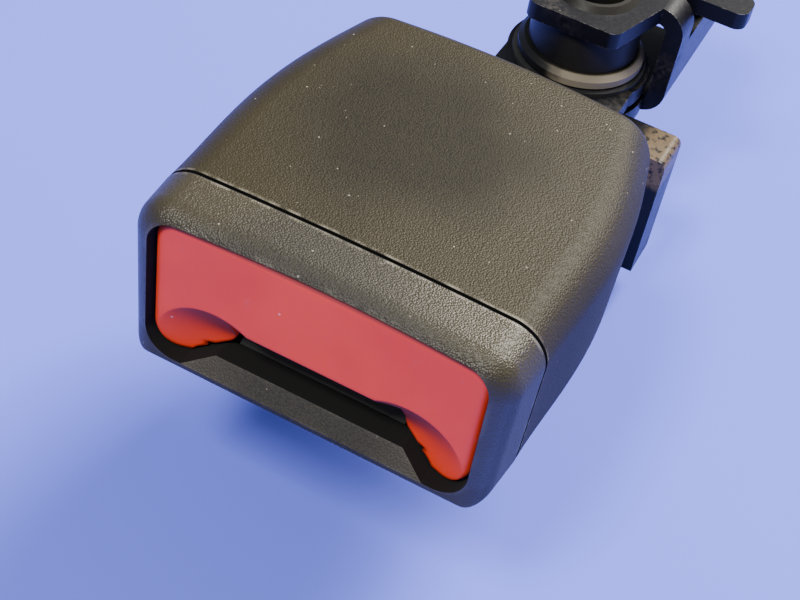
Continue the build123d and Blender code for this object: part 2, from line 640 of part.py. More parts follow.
def latch_profile():
    """Side view of the engaged latch: hook, nose under the lock bar, arm and pivot boss."""
    pivot_y = depth(PIVOT_DEPTH)
    pivot_z = height(PIVOT_HEIGHT)
    front = depth(HOOK_FRONT_DEPTH)
    floor = height(LATCH_FLOOR)
    top = floor + LATCH_THICKNESS
    nose_end = front + NOSE_LENGTH
    nose_top = height(NOSE_TOP)
    arm = Polyline((front, floor), (front, nose_top - NOSE_BEVEL), (front + NOSE_BEVEL, nose_top),
                   (nose_end - NOSE_BEVEL, nose_top), (nose_end, nose_top - NOSE_BEVEL), (nose_end, top),
                   (pivot_y, top), (pivot_y, floor + RUNNING_CLEARANCE), close=True)
    return make_face(arm) + Pos(pivot_y, pivot_z) * Circle(BOSS_RADIUS)


def make_latch():
    """Hook plate on the pivot pin, drawn raised as it stands while the buckle is empty."""
    half = LATCH_WIDTH / 2
    latch = extrude(along(-half) * latch_profile(), LATCH_WIDTH)
    front = depth(HOOK_FRONT_DEPTH)
    root = height(LATCH_FLOOR) + LATCH_THICKNESS / 2
    hook = Polyline((front, root), (front, height(HOOK_TIP)),
                    (front + HOOK_LENGTH / 2, height(HOOK_TIP)),
                    (front + HOOK_LENGTH, height(HOOK_TIP + HOOK_SLANT)),
                    (front + HOOK_LENGTH, root), close=True)
    latch += extrude(along(-HOOK_WIDTH / 2) * make_face(hook), HOOK_WIDTH)
    pivot_y = depth(PIVOT_DEPTH)
    pivot_z = height(PIVOT_HEIGHT)
    latch -= rod(PIVOT_RADIUS + RUNNING_CLEARANCE, -half - OVERCUT, half + OVERCUT, pivot_y, pivot_z)
    hinge = Axis((0, pivot_y, pivot_z), (1, 0, 0))
    return latch.rotate(hinge, -LATCH_SWING)


def make_pivot_pin():
    """Headed pin across the frame that the latch swings on."""
    half = CHANNEL_WIDTH / 2 + SHEET + RUNNING_CLEARANCE
    pivot_y = depth(PIVOT_DEPTH)
    pivot_z = height(PIVOT_HEIGHT)
    pin = rod(PIVOT_RADIUS, -half - PIVOT_HEAD_HEIGHT, half + PIVOT_HEAD_HEIGHT, pivot_y, pivot_z)
    head = rod(PIVOT_HEAD_RADIUS, half, half + PIVOT_HEAD_HEIGHT, pivot_y, pivot_z)
    return pin + mirrored(head)


def make_lock_bar():
    """Round bar that blocks the engaged latch from above."""
    half = arm_inner() + ARM_THICKNESS + BAR_OVERHANG
    bar = rod(BAR_RADIUS, -half, half, depth(BAR_REST_DEPTH), bar_height())
    return chamfer(bar.edges().filter_by(GeomType.CIRCLE), BAR_CHAMFER)


def make_ejector():
    """Sliding fork that the tongue pushes back, with a groove for its spring."""
    half = CHANNEL_WIDTH / 2 - EJECTOR_CLEARANCE
    low = frame_floor() + RUNNING_CLEARANCE
    top = low + EJECTOR_HEIGHT
    front = depth(EJECTOR_FRONT_DEPTH)
    block_front = front + EJECTOR_PRONG_LENGTH
    rear = block_front + EJECTOR_BLOCK_LENGTH
    ejector = block(-half, half, front, rear, low, top)
    gap = HOOK_WIDTH / 2 + EJECTOR_CLEARANCE
    ejector -= block(-gap, gap, front - OVERCUT, block_front, low - OVERCUT, top + OVERCUT)
    front_edges = ejector.edges().filter_by(Axis.X).filter_by(lambda e: e.center().Y < front + NEAR)
    ejector = chamfer(front_edges, EJECTOR_CHAMFER)
    groove = EJECTOR_SPRING_RADIUS + EJECTOR_SPRING_WIRE
    return ejector - block(-groove, groove, block_front + EJECTOR_GROOVE_START, rear + OVERCUT,
                           low + EJECTOR_GROOVE_FLOOR, top + OVERCUT)


def coil(radius, wire, turns, start, end, x, z):
    """Compression spring along Y between two stations, wire ends just inside them."""
    length = end - start - 2 * (SPRING_END_GAP + wire / 2)
    pitch = length / turns
    helix = Helix(pitch, length, radius)
    section = Plane(helix @ 0, z_dir=helix % 0) * Circle(wire / 2)
    spring = sweep(section, path=helix, is_frenet=True)
    return Pos(x, start + SPRING_END_GAP + wire / 2, z) * (Rotation(-90, 0, 0) * spring)


def make_button_spring(sign):
    """Return spring between a lobe of the button and an ear of the frame."""
    return coil(BUTTON_SPRING_RADIUS, BUTTON_SPRING_WIRE, BUTTON_SPRING_TURNS,
                depth(BUTTON_SETBACK + BUTTON_FACE_WALL), ear_front(),
                sign * button_spring_offset(), height(BUTTON_SPRING_HEIGHT))


def make_ejector_spring():
    """Spring between the ejector and the front end of the stalk."""
    groove_floor = frame_floor() + RUNNING_CLEARANCE + EJECTOR_GROOVE_FLOOR
    middle = groove_floor + SLIDE_CLEARANCE + EJECTOR_SPRING_RADIUS + EJECTOR_SPRING_WIRE / 2
    start = depth(EJECTOR_FRONT_DEPTH + EJECTOR_PRONG_LENGTH + EJECTOR_GROOVE_START)
    return coil(EJECTOR_SPRING_RADIUS, EJECTOR_SPRING_WIRE, EJECTOR_SPRING_TURNS, start,
                depth(STRAP_FRONT_DEPTH), 0.0, middle)


def make_latch_spring():
    """Torsion spring on the pivot pin, one leg on the latch and one on the stalk."""
    wire = LATCH_SPRING_WIRE
    radius = BOSS_RADIUS - wire
    x = LATCH_WIDTH / 2 + wire
    pivot_y = depth(PIVOT_DEPTH)
    pivot_z = height(PIVOT_HEIGHT)
    helix = Helix(LATCH_SPRING_PITCH, LATCH_SPRING_PITCH * LATCH_SPRING_TURNS, radius)
    section = Plane(helix @ 0, z_dir=helix % 0) * Circle(wire / 2)
    spring = sweep(section, path=helix, is_frenet=True)
    spring = Pos(x, pivot_y, pivot_z) * (Rotation(0, 90, 0) * spring)
    for end in (0, 1):
        face = spring.faces().filter_by(GeomType.PLANE).sort_by(Axis.X)[-end]
        spring += extrude(face, LATCH_SPRING_LEG)
    return spring


# ---------------------------------------------------------------- stalk and anchor

def make_stalk():
    """Flat steel stalk: riveted into the frame, joggled down behind the head, round eye."""
    low = strap_floor()
    eye_low = -STRAP_THICKNESS / 2
    start = depth(STRAP_FRONT_DEPTH)
    bend = depth(HEAD_LENGTH + JOGGLE_SETBACK)
    bend_end = bend + JOGGLE_LENGTH
    side = Polyline((start, low), (bend, low), (bend_end, eye_low), (EYE_RADIUS, eye_low),
                    (EYE_RADIUS, eye_low + STRAP_THICKNESS), (bend_end, eye_low + STRAP_THICKNESS),
                    (bend, low + STRAP_THICKNESS), (start, low + STRAP_THICKNESS), close=True)
    face = make_face(side)
    bends = face.vertices().filter_by(lambda v: bend - NEAR < v.X < bend_end + NEAR)
    face = fillet(bends, STRAP_THICKNESS / 2)
    strap = extrude(along(-EYE_RADIUS) * face, 2 * EYE_RADIUS)
    half = STRAP_WIDTH / 2
    plan = make_face(Polyline((-half, start), (half, start), (half, 0), (-half, 0), close=True))
    plan = fillet(plan.vertices().sort_by(Axis.Y)[:2], RIVET_RADIUS)
    plan += Circle(EYE_RADIUS)
    strap &= Pos(0, 0, -HEAD_HEIGHT) * extrude(plan, HEAD_HEIGHT * 2)
    strap -= post(BUSH_RADIUS + RUNNING_CLEARANCE + BEARING_WALL, -STRAP_THICKNESS, STRAP_THICKNESS)
    for x in (-RIVET_SPACING / 2, RIVET_SPACING / 2):
        strap -= post(RIVET_RADIUS + RUNNING_CLEARANCE, low - OVERCUT, low + STRAP_THICKNESS + OVERCUT,
                      x, depth(RIVET_DEPTH))
    return strap


def make_stalk_rivets():
    """Two rivets that hold the stalk in the frame."""
    low = height(FRAME_BASE_HEIGHT)
    top = strap_floor() + STRAP_THICKNESS
    rivets = []
    for x in (-RIVET_SPACING / 2, RIVET_SPACING / 2):
        shank = post(RIVET_RADIUS, low, top, x, depth(RIVET_DEPTH))
        head = post(RIVET_HEAD_RADIUS, top, top + RIVET_HEAD_HEIGHT, x, depth(RIVET_DEPTH))
        crown = head.edges().filter_by(GeomType.CIRCLE).sort_by(Axis.Z)[-1]
        rivets.append(shank + fillet(crown, RIVET_CROWN_RADIUS))
    return Compound(children=[r.solid() for r in rivets])


def bush_flange_floor():
    """Z of the bush flange's lower face, above the bearing collar and the spring washer."""
    collar_top = STRAP_THICKNESS / 2 + BEARING_COLLAR_THICKNESS
    return collar_top + SPRING_WASHER_THICKNESS + 2 * RUNNING_CLEARANCE


def top_limb_floor():
    """Z of the underside of the bracket's top limb, which rests on the bush's neck."""
    return bush_flange_floor() + BUSH_FLANGE_THICKNESS + BUSH_NECK_HEIGHT


def base_limb_top():
    """Z of the upper face of the bracket's base limb, under the wear washer."""
    return -STRAP_THICKNESS / 2 - 2 * RUNNING_CLEARANCE - WEAR_WASHER_THICKNESS


def make_anchor_bush():
    """Turned steel bush: bearing length, chamfered flange, neck, and a swaged rim at each end."""
    base_low = base_limb_top() - BRACKET_SHEET
    base_top = base_limb_top()
    flange = bush_flange_floor()
    neck = flange + BUSH_FLANGE_THICKNESS
    shoulder = top_limb_floor()
    top = shoulder + BRACKET_SHEET
    bore = BOLT_HOLE_RADIUS
    seat = BUSH_RADIUS - BUSH_SWAGE
    half_section = Polyline((bore, base_low - BUSH_SWAGE), (seat, base_low - BUSH_SWAGE),
                            (BUSH_RADIUS, base_low), (seat, base_low), (seat, base_top),
                            (BUSH_RADIUS, base_top), (BUSH_RADIUS, flange), (BUSH_FLANGE_RADIUS, flange),
                            (BUSH_FLANGE_RADIUS, neck - BUSH_FLANGE_CHAMFER),
                            (BUSH_FLANGE_RADIUS - BUSH_FLANGE_CHAMFER, neck), (BUSH_NECK_RADIUS, neck),
                            (BUSH_NECK_RADIUS, shoulder), (seat, shoulder), (seat, top),
                            (BUSH_RADIUS, top), (seat, top + BUSH_SWAGE), (bore, top + BUSH_SWAGE),
                            close=True)
    return revolve(Plane.XZ * make_face(half_section), Axis.Z)


def ring(inner, outer, low, top):
    """Flat ring about the bolt's axis."""
    return post(outer, low, top) - post(inner, low - OVERCUT, top + OVERCUT)


def make_stalk_bearing():
    """Nylon liner pressed in the eye, with a collar under the spring washer."""
    inner = BUSH_RADIUS + RUNNING_CLEARANCE
    eye_low = -STRAP_THICKNESS / 2
    eye_top = STRAP_THICKNESS / 2
    collar = ring(inner, BEARING_COLLAR_RADIUS, eye_top, eye_top + BEARING_COLLAR_THICKNESS)
    return collar + ring(inner, inner + BEARING_WALL, eye_low, eye_top)


def make_spring_washer():
    """Thin washer that keeps the swivel from rattling."""
    low = STRAP_THICKNESS / 2 + BEARING_COLLAR_THICKNESS + RUNNING_CLEARANCE
    outer = BUSH_FLANGE_RADIUS - BUSH_FLANGE_CHAMFER
    return ring(BUSH_RADIUS + RUNNING_CLEARANCE, outer, low, low + SPRING_WASHER_THICKNESS)


def make_wear_washer():
    """Nylon washer between the stalk's eye and the bracket's base limb."""
    low = base_limb_top()
    inner = BUSH_RADIUS + RUNNING_CLEARANCE
    return ring(inner, WEAR_WASHER_RADIUS, low, low + WEAR_WASHER_THICKNESS)


def web_inner():
    """X of the inner face of the bracket's upright web."""
    return EYE_RADIUS + WEB_GAP


def top_limb_outline():
    """Plan of the top limb: a narrow nose over the bush that spreads to the left behind it."""
    front = TOP_FRONT_WIDTH / 2
    right = web_inner() - BRACKET_BEND
    outline = make_face(Polyline((-front, TOP_FRONT), (front, TOP_FRONT), (right, WEB_FRONT),
                                 (right, WEB_REAR), (-TOP_SPREAD, WEB_REAR), (-TOP_SPREAD, TOP_SHOULDER),
                                 (-TOP_WAIST_HALF_WIDTH, TOP_WAIST), close=True))
    return fillet(outline.vertices().filter_by(lambda v: v.X < right - NEAR), BRACKET_CORNER_RADIUS)


def base_limb_outline():
    """Plan of the base limb: round under the eye, with an ear towards the leg."""
    right = web_inner() - BRACKET_BEND
    left = -BASE_RADIUS / 2
    fold = leg_outer() - BRACKET_SHEET - BRACKET_BEND
    ear_rear = LEG_FRONT + LEG_WIDTH
    back = Polyline((left, 0), (right, 0), (right, BASE_REAR), (left, BASE_REAR), close=True)
    ear = Polyline((0, LEG_FRONT), (fold, LEG_FRONT), (fold, ear_rear), (0, ear_rear), close=True)
    return make_face(back) + make_face(ear) + Circle(BASE_RADIUS)


def leg_outer():
    """X of the leg's outer face."""
    return web_inner() + BRACKET_SHEET + LEG_STEP


def folded_web():
    """Upright web with a fold into each limb."""
    sheet = BRACKET_SHEET
    inner = web_inner()
    start = inner - BRACKET_BEND - sheet / 2
    low = base_limb_top() - sheet
    high = top_limb_floor() + sheet
    channel = make_face(Polyline((start, low), (inner + sheet, low), (inner + sheet, high), (start, high),
                                 (start, high - sheet), (inner, high - sheet), (inner, low + sheet),
                                 (start, low + sheet), close=True))
    channel = fillet(channel.vertices().filter_by(lambda v: abs(v.X - inner) < NEAR), BRACKET_BEND)
    outer = channel.vertices().filter_by(lambda v: abs(v.X - inner - sheet) < NEAR)
    return extrude(across(WEB_REAR) * fillet(outer, BRACKET_BEND + sheet), WEB_REAR - WEB_FRONT)


def folded_leg():
    """Ear of the base limb folded down into a narrow leg."""
    sheet = BRACKET_SHEET
    outer = leg_outer()
    start = outer - sheet - BRACKET_BEND - sheet / 2
    top = base_limb_top()
    angle = make_face(Polyline((start, top - sheet), (start, top), (outer, top), (outer, LEG_FOOT),
                               (outer - sheet, LEG_FOOT), (outer - sheet, top - sheet), close=True))
    bends = angle.vertices().filter_by(lambda v: v.Y > LEG_FOOT + NEAR)
    angle = fillet(bends.filter_by(lambda v: abs(v.X - outer + sheet) < NEAR), BRACKET_BEND)
    bends = angle.vertices().filter_by(lambda v: v.Y > LEG_FOOT + NEAR)
    angle = fillet(bends.filter_by(lambda v: abs(v.X - outer) < NEAR), BRACKET_BEND)
    return extrude(across(LEG_FRONT + LEG_WIDTH) * angle, LEG_WIDTH)


def make_anchor_bracket():
    """C-shaped pressing: top limb, web and base limb around the bush, a side tab and a leg."""
    top = top_limb_floor()
    base = base_limb_top() - BRACKET_SHEET
    bracket = folded_web() + folded_leg()
    bracket += Pos(0, 0, top) * extrude(top_limb_outline(), BRACKET_SHEET)
    bracket += Pos(0, 0, base) * extrude(base_limb_outline(), BRACKET_SHEET)
    outer = web_inner() + BRACKET_SHEET
    relief = block(web_inner() - BRACKET_BEND, outer + OVERCUT,
                   TAB_FRONT - TAB_RELIEF, TAB_FRONT + TAB_WIDTH + TAB_RELIEF,
                   top - BRACKET_BEND - BRACKET_SHEET, top + BRACKET_SHEET + OVERCUT)
    tab = block(web_inner() - BRACKET_BEND - BRACKET_SHEET, outer + TAB_REACH,
                TAB_FRONT, TAB_FRONT + TAB_WIDTH, top, top + BRACKET_SHEET)
    tab = fillet(tab.edges().filter_by(Axis.Z).sort_by(Axis.X)[2:], BRACKET_CORNER_RADIUS)
    bracket = bracket - relief + tab
    seat = BUSH_RADIUS - BUSH_SWAGE
    for low in (top, base):
        bracket -= post(seat, low - OVERCUT, low + BRACKET_SHEET + OVERCUT)
    return bracket


def write(name, shape):
    """Writes one piece as parts/NAME.step."""
    export_step(shape, os.path.join("parts", name + ".step"))


os.makedirs("parts", exist_ok=True)
write("rear_cover", make_rear_cover())
write("bottom_cover", make_bottom_cover())
write("front_bezel", make_front_bezel())
write("release_button", make_release_button())
write("buckle_frame", make_buckle_frame())
write("tongue_guide", make_tongue_guide())
write("latch", make_latch())
write("latch_pivot_pin", make_pivot_pin())
write("lock_bar", make_lock_bar())
write("ejector", make_ejector())
write("button_spring_left", make_button_spring(-1))
write("button_spring_right", make_button_spring(1))
write("ejector_spring", make_ejector_spring())
write("latch_spring", make_latch_spring())
write("stalk_strap", make_stalk())
write("stalk_rivets", make_stalk_rivets())
write("anchor_bush", make_anchor_bush())
write("stalk_bearing", make_stalk_bearing())
write("spring_washer", make_spring_washer())
write("wear_washer", make_wear_washer())
write("anchor_bracket", make_anchor_bracket())
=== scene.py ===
import math
import bpy
from mathutils import Matrix, Vector


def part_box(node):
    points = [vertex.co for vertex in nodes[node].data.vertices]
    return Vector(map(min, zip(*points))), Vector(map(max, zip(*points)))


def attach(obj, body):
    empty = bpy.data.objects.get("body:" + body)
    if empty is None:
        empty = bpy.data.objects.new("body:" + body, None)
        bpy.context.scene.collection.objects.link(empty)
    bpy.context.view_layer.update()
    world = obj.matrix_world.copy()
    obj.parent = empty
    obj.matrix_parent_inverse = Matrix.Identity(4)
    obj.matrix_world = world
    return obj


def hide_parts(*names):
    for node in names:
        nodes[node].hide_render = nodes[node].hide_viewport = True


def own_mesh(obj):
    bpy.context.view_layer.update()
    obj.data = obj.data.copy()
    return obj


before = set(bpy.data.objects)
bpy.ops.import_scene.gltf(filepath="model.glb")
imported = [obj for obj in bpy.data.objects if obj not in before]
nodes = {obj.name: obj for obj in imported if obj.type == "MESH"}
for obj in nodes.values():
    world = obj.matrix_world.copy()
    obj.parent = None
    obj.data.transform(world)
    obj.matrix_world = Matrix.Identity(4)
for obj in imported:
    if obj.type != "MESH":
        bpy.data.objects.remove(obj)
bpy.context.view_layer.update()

# ---------------------------------------------------------------- view
# The head is seen from in front, from its right and from well above, close enough
# for its front end to look much larger than its rear.
CAMERA_PLACE = (0.0525, -0.2126, 0.1596)
CAMERA_RIGHT = (0.8803, 0.4562, 0.1307)
CAMERA_FORWARD = (-0.2334, 0.6560, -0.7178)
LENS = 70.7
SENSOR_WIDTH = 36
NEAREST = 0.01

camera = bpy.data.objects.new("camera", bpy.data.cameras.new("camera"))
bpy.context.scene.collection.objects.link(camera)
right = Vector(CAMERA_RIGHT).normalized()
forward = Vector(CAMERA_FORWARD)
forward = (forward - forward.dot(right) * right).normalized()
up = right.cross(forward)
turned = Matrix((right, up, -forward)).transposed().to_4x4()
camera.matrix_world = Matrix.Translation(CAMERA_PLACE) @ turned
camera.data.lens = LENS
camera.data.sensor_width = SENSOR_WIDTH
camera.data.clip_start = NEAREST
bpy.context.scene.camera = camera


# ---------------------------------------------------------------- mat and lamps
# A plain blue mat under the buckle, one broad lamp high behind it to the right, a small
# one high in front of it, and soft light from all round.
class Wire:
    """A socket of a material's node tree. Arithmetic on wires adds Math nodes."""

    def __init__(self, tree, socket=None):
        self.tree = tree
        self.socket = socket

    def node(self, kind, settings=None, sockets=None, out=0):
        """Adds a node: its settings first, then the values or links of its sockets."""
        made = self.tree.nodes.new(kind)
        for name, value in (settings or {}).items():
            setattr(made, name, value)
        for name, value in (sockets or {}).items():
            if isinstance(value, Wire):
                self.tree.links.new(value.socket, made.inputs[name])
            else:
                made.inputs[name].default_value = value
        return Wire(self.tree, made.outputs[out])

    def math(self, operation, *operands, clamp=False):
        """A Math node on these operands, wires or numbers."""
        settings = {"operation": operation, "use_clamp": clamp}
        return self.node("ShaderNodeMath", settings, dict(enumerate(operands)))

    def vector_math(self, operation, other, out=0):
        """A Vector Math node on this wire and another. Its number is at output 1."""
        return self.node("ShaderNodeVectorMath", {"operation": operation}, {0: self, 1: other}, out)

    def __add__(self, other):
        return self.math("ADD", self, other)

    def __radd__(self, other):
        return self.math("ADD", other, self)

    def __sub__(self, other):
        return self.math("SUBTRACT", self, other)

    def __rsub__(self, other):
        return self.math("SUBTRACT", other, self)

    def __mul__(self, other):
        return self.math("MULTIPLY", self, other)

    def __rmul__(self, other):
        return self.math("MULTIPLY", other, self)

    def __pow__(self, other):
        return self.math("POWER", self, other)

    def __abs__(self):
        return self.math("ABSOLUTE", self)

    def clamped(self):
        """This wire held between 0 and 1."""
        return self.math("ADD", self, 0.0, clamp=True)

    def most(self, other):
        """The larger of two wires at each point."""
        return self.math("MAXIMUM", self, other)

    def part(self, axis):
        """One component of a vector wire, 0 to 2 for x to z."""
        return self.node("ShaderNodeSeparateXYZ", {}, {0: self}, out=axis)

    def ease(self, start, end):
        """0 at start, 1 at end, smooth between them."""
        settings = {"interpolation_type": "SMOOTHSTEP"}
        sockets = {"Value": self, "From Min": start, "From Max": end}
        return self.node("ShaderNodeMapRange", settings, sockets)

    def tint(self, low, high):
        """Colour from low, where this wire is 0, to high, where it is 1."""
        first = low if isinstance(low, Wire) else (*low, 1.0)
        second = high if isinstance(high, Wire) else (*high, 1.0)
        return self.node("ShaderNodeMix", {"data_type": "RGBA"}, {0: self, 6: first, 7: second}, out=2)


class Finish:
    """A material with one Principled shader, and the place on the piece to work from."""

    def __init__(self, name, **fixed):
        self.material = bpy.data.materials.new(name)
        self.material.use_nodes = True
        self.tree = self.material.node_tree
        self.shader = self.tree.nodes["Principled BSDF"]
        for socket, value in fixed.items():
            self.shader.inputs[socket.replace("_", " ")].default_value = value
        self.place = Wire(self.tree).node("ShaderNodeTexCoord", out=3)
        self.x, self.y, self.z = [self.place.part(axis) for axis in range(3)]

    def noise(self, size, detail=2.0, roughness=0.5, where=None):
        """Noise from 0 to 1 whose lumps are about this size in metres."""
        sockets = {"Vector": where or self.place, "Scale": 1.0 / size}
        sockets.update({"Detail": detail, "Roughness": roughness})
        return self.place.node("ShaderNodeTexNoise", {}, sockets)

    def cells(self, size):
        """Distance to the nearest of scattered points about this far apart."""
        return self.place.node("ShaderNodeTexVoronoi", {}, {"Vector": self.place, "Scale": 1.0 / size})

    def specks(self, spacing, radius, fade, cluster, share):
        """Scattered dots, full out to radius and gone at fade, both as shares of their spacing.
        They gather where a noise with lumps of size cluster rises through the range share."""
        return self.cells(spacing).ease(fade, radius) * self.noise(cluster, 1.0).ease(*share)

    def stretched(self, x, y, z):
        """The place scaled along each axis, for streaks and brushed grain."""
        return self.place.vector_math("MULTIPLY", (x, y, z))

    def facing(self):
        """The surface's direction on the piece."""
        return self.place.node("ShaderNodeTexCoord", out=1)

    def drive(self, socket, wire):
        """Links a wire to a socket of the shader."""
        self.tree.links.new(wire.socket, self.shader.inputs[socket])

    def relief(self, height, depth, strength, rounding=0.0):
        """Bump of this height wire, depth metres from its 0 to its 1, on edges eased by rounding."""
        sockets = {"Height": height, "Distance": depth, "Strength": strength}
        if rounding:
            sockets["Normal"] = height.node("ShaderNodeBevel", {"samples": 8}, {"Radius": rounding})
        self.drive("Normal", height.node("ShaderNodeBump", {}, sockets))


MAT_HEIGHT = -0.034
MAT_REACH = 3.0
MAT_CLOUD = 0.09
MAT_DARK = (0.150, 0.190, 0.97)
MAT_PALE = (0.165, 0.205, 0.99)
SKY = (0.84, 0.88, 1.0, 1.0)
SKY_STRENGTH = 0.48

corners = [(-1, -1), (1, -1), (1, 1), (-1, 1)]
mat_mesh = bpy.data.meshes.new("mat")
mat_mesh.from_pydata([(x * MAT_REACH, y * MAT_REACH, MAT_HEIGHT) for x, y in corners], [], [(0, 1, 2, 3)])
mat = bpy.data.objects.new("mat", mat_mesh)
bpy.context.scene.collection.objects.link(mat)
mat_finish = Finish("mat_finish", Roughness=0.85, IOR=1.3)
mat_finish.drive("Base Color", mat_finish.noise(MAT_CLOUD, 3.0).tint(MAT_DARK, MAT_PALE))
mat_mesh.materials.append(mat_finish.material)


def lamp(name, place, aim, side, power, colour):
    """Square lamp at place, facing aim."""
    light = bpy.data.lights.new(name, "AREA")
    light.shape = "RECTANGLE"
    light.size = side
    light.size_y = side
    light.energy = power
    light.color = colour
    made = bpy.data.objects.new(name, light)
    made.location = place
    made.rotation_euler = (Vector(aim) - Vector(place)).to_track_quat("-Z", "Y").to_euler()
    bpy.context.scene.collection.objects.link(made)


lamp("key_lamp", place=(0.25, 0.55, 0.75), aim=(0.0, -0.05, 0.0), side=0.4, power=24.0,
     colour=(1.0, 0.96, 0.88))
lamp("front_lamp", place=(-0.10, -0.48, 0.70), aim=(0.0, -0.06, 0.0), side=0.16, power=6.5,
     colour=(1.0, 0.97, 0.90))
world = bpy.data.worlds.new("room")
world.use_nodes = True
background = world.node_tree.nodes["Background"]
background.inputs["Color"].default_value = SKY
background.inputs["Strength"].default_value = SKY_STRENGTH
bpy.context.scene.world = world

# ---------------------------------------------------------------- anchor bracket
# Stamped and folded from 3 mm steel strip and dipped in black paint, with a leg that
# keeps it from turning on the seat. It is clamped by the anchor bolt.
BRACKET_PAINT = (0.004, 0.004, 0.006)
BRACKET_BARE = (0.20, 0.19, 0.18)
GRIME = (0.075, 0.062, 0.045)
# Tan of the painted highlight on the lit top of the leg's fold.
FOLD_HIGHLIGHT = (0.20, 0.14, 0.08)
PALE_SPECK = (0.32, 0.30, 0.26)
EDGE_WEAR = 0.0004
LEG_FOLD_X = (0.0150, 0.0180)
LEG_FOLD_Y = (-0.0035, -0.0050)
LEG_FOLD_Z = (-0.0090, -0.0070)


def scaled(colour, factor, lift=0.0):
    """A colour times factor, plus lift."""
    return tuple(factor * part + lift for part in colour)


def edges(finish, radius):
    """1 on outer and inner edges, falling to 0 about radius metres away from them."""
    soft = finish.place.node("ShaderNodeBevel", {"samples": 6}, {"Radius": radius})
    flat = finish.place.node("ShaderNodeNewGeometry", out=1)
    return 1 - soft.vector_math("DOT_PRODUCT", flat, out=1)


def painted_steel(name, paint, bare, lit_fold=False):
    """Black dip paint on steel, rubbed through to bare metal here and there on its edges, with a tan
    painted highlight on the top of the leg's fold when asked.
    """
    finish = Finish(name, IOR=1.5, Specular_IOR_Level=0.22)
    mottle = finish.noise(size=0.0009, detail=3.0)
    blotch = finish.noise(size=0.008, detail=4.0, roughness=0.6)
    peel = finish.noise(size=0.0006, detail=1.0)
    chips = finish.noise(size=0.0011, detail=4.0, roughness=0.7)
    worn = edges(finish, EDGE_WEAR).ease(0.03, 0.2) * chips.ease(0.5, 0.62)
    grime = blotch.ease(0.5, 0.75) * mottle.ease(0.35, 0.7)
    specks = finish.specks(spacing=0.0022, radius=0.04, fade=0.08, cluster=0.003, share=(0.55, 0.62))
    colour = mottle.tint(paint, scaled(paint, 1.5))
    colour = (grime * 0.35).tint(colour, GRIME)
    if lit_fold:
        # Painted highlight: a patchy tan stands for the lit top of the leg's fold.
        fold = finish.x.ease(*LEG_FOLD_X) * finish.y.ease(*LEG_FOLD_Y) * finish.z.ease(*LEG_FOLD_Z)
        fold_highlight = fold * chips.ease(0.36, 0.52)
        colour = (fold_highlight * 0.6).tint(colour, FOLD_HIGHLIGHT)
    colour = (worn * 0.7).tint(colour, bare)
    colour = (specks * 0.6).tint(colour, PALE_SPECK)
    finish.drive("Base Color", colour)
    finish.drive("Roughness", (0.30 + mottle * 0.14 + grime * 0.22).clamped())
    finish.drive("Metallic", (worn * 0.7).clamped())
    finish.relief(mottle * 0.4 + peel * 0.6 - worn * 0.5, depth=0.00004, strength=0.6)
    return finish.material


def dress(node, material):
    """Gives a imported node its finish."""
    mesh = nodes[node].data
    mesh.materials.clear()
    mesh.materials.append(material)


dress("anchor_bracket", painted_steel("bracket_finish", BRACKET_PAINT, BRACKET_BARE, lit_fold=True))

# ---------------------------------------------------------------- anchor bush
# Turned steel sleeve with a flange, phosphated and oiled, swaged into both limbs of the bracket. A tan
# painted highlight lies on the right side of its flange's rim.
BUSH_TONE = (0.005, 0.005, 0.005)
# Tan of the painted highlight on the flange's rim.
FLANGE_HIGHLIGHT = (0.30, 0.255, 0.18)
FLANGE_RIM = (0.0094, 0.0100)
HIGHLIGHT_SIDE = (0.0010, 0.0075)


def phosphated_steel(name, tone):
    """Black phosphate with turning marks, and a tan painted highlight on one side of the flange's rim."""
    finish = Finish(name, IOR=1.4, Specular_IOR_Level=0.25)
    mottle = finish.noise(size=0.0007, detail=3.0)
    rings = finish.noise(size=0.0005, where=finish.stretched(0.15, 0.15, 1.0))
    blotch = finish.noise(size=0.006, detail=4.0, roughness=0.65)
    radius = (finish.x ** 2.0 + finish.y ** 2.0) ** 0.5
    side = (finish.x + blotch * 0.010).ease(*HIGHLIGHT_SIDE)
    # Painted highlight: tan on the flange's rim, on its right side.
    rim_highlight = (radius.ease(*FLANGE_RIM) * 0.9 + 0.04) * side
    colour = mottle.tint(tone, scaled(tone, 1.7))
    finish.drive("Base Color", (rim_highlight * 0.8).tint(colour, FLANGE_HIGHLIGHT))
    finish.drive("Roughness", (0.38 + mottle * 0.14 + rim_highlight * 0.15).clamped())
    finish.relief(mottle * 0.5 + rings * 0.5, depth=0.00004, strength=0.6)
    return finish.material


dress("anchor_bush", phosphated_steel("bush_finish", BUSH_TONE))

# ---------------------------------------------------------------- wear washer
# Nylon disc between the stalk's eye and the bracket's base limb, loose on the bush, so
# that the eye turns on plastic.
WASHER_NYLON = (0.030, 0.030, 0.030)


def nylon(name, tone, rough):
    """Moulded nylon: a faint cloud in its colour and a fine eroded surface."""
    finish = Finish(name, IOR=1.5)
    cloud = finish.noise(size=0.003, detail=3.0)
    pits = finish.noise(size=0.00025)
    scuff = finish.noise(size=0.0012, detail=3.0, where=finish.stretched(1.0, 0.12, 1.0)).ease(0.58, 0.70)
    colour = cloud.tint(scaled(tone, 0.82), tone)
    finish.drive("Base Color", (scuff * 0.25).tint(colour, scaled(tone, 1.6, lift=0.02)))
    finish.drive("Roughness", (rough + pits * 0.12 + scuff * 0.1).clamped())
    finish.relief(pits, depth=0.00002, strength=0.5)
    return finish.material


dress("wear_washer", nylon("washer_finish", WASHER_NYLON, rough=0.42))

# ---------------------------------------------------------------- spring washer
# Thin washer blanked from rolled spring steel strip, between the bush's flange and the
# stalk bearing. It takes up the play and keeps the swivel from rattling.
STRIP_STEEL = (0.50, 0.50, 0.50)
STAIN = (0.21, 0.18, 0.14)


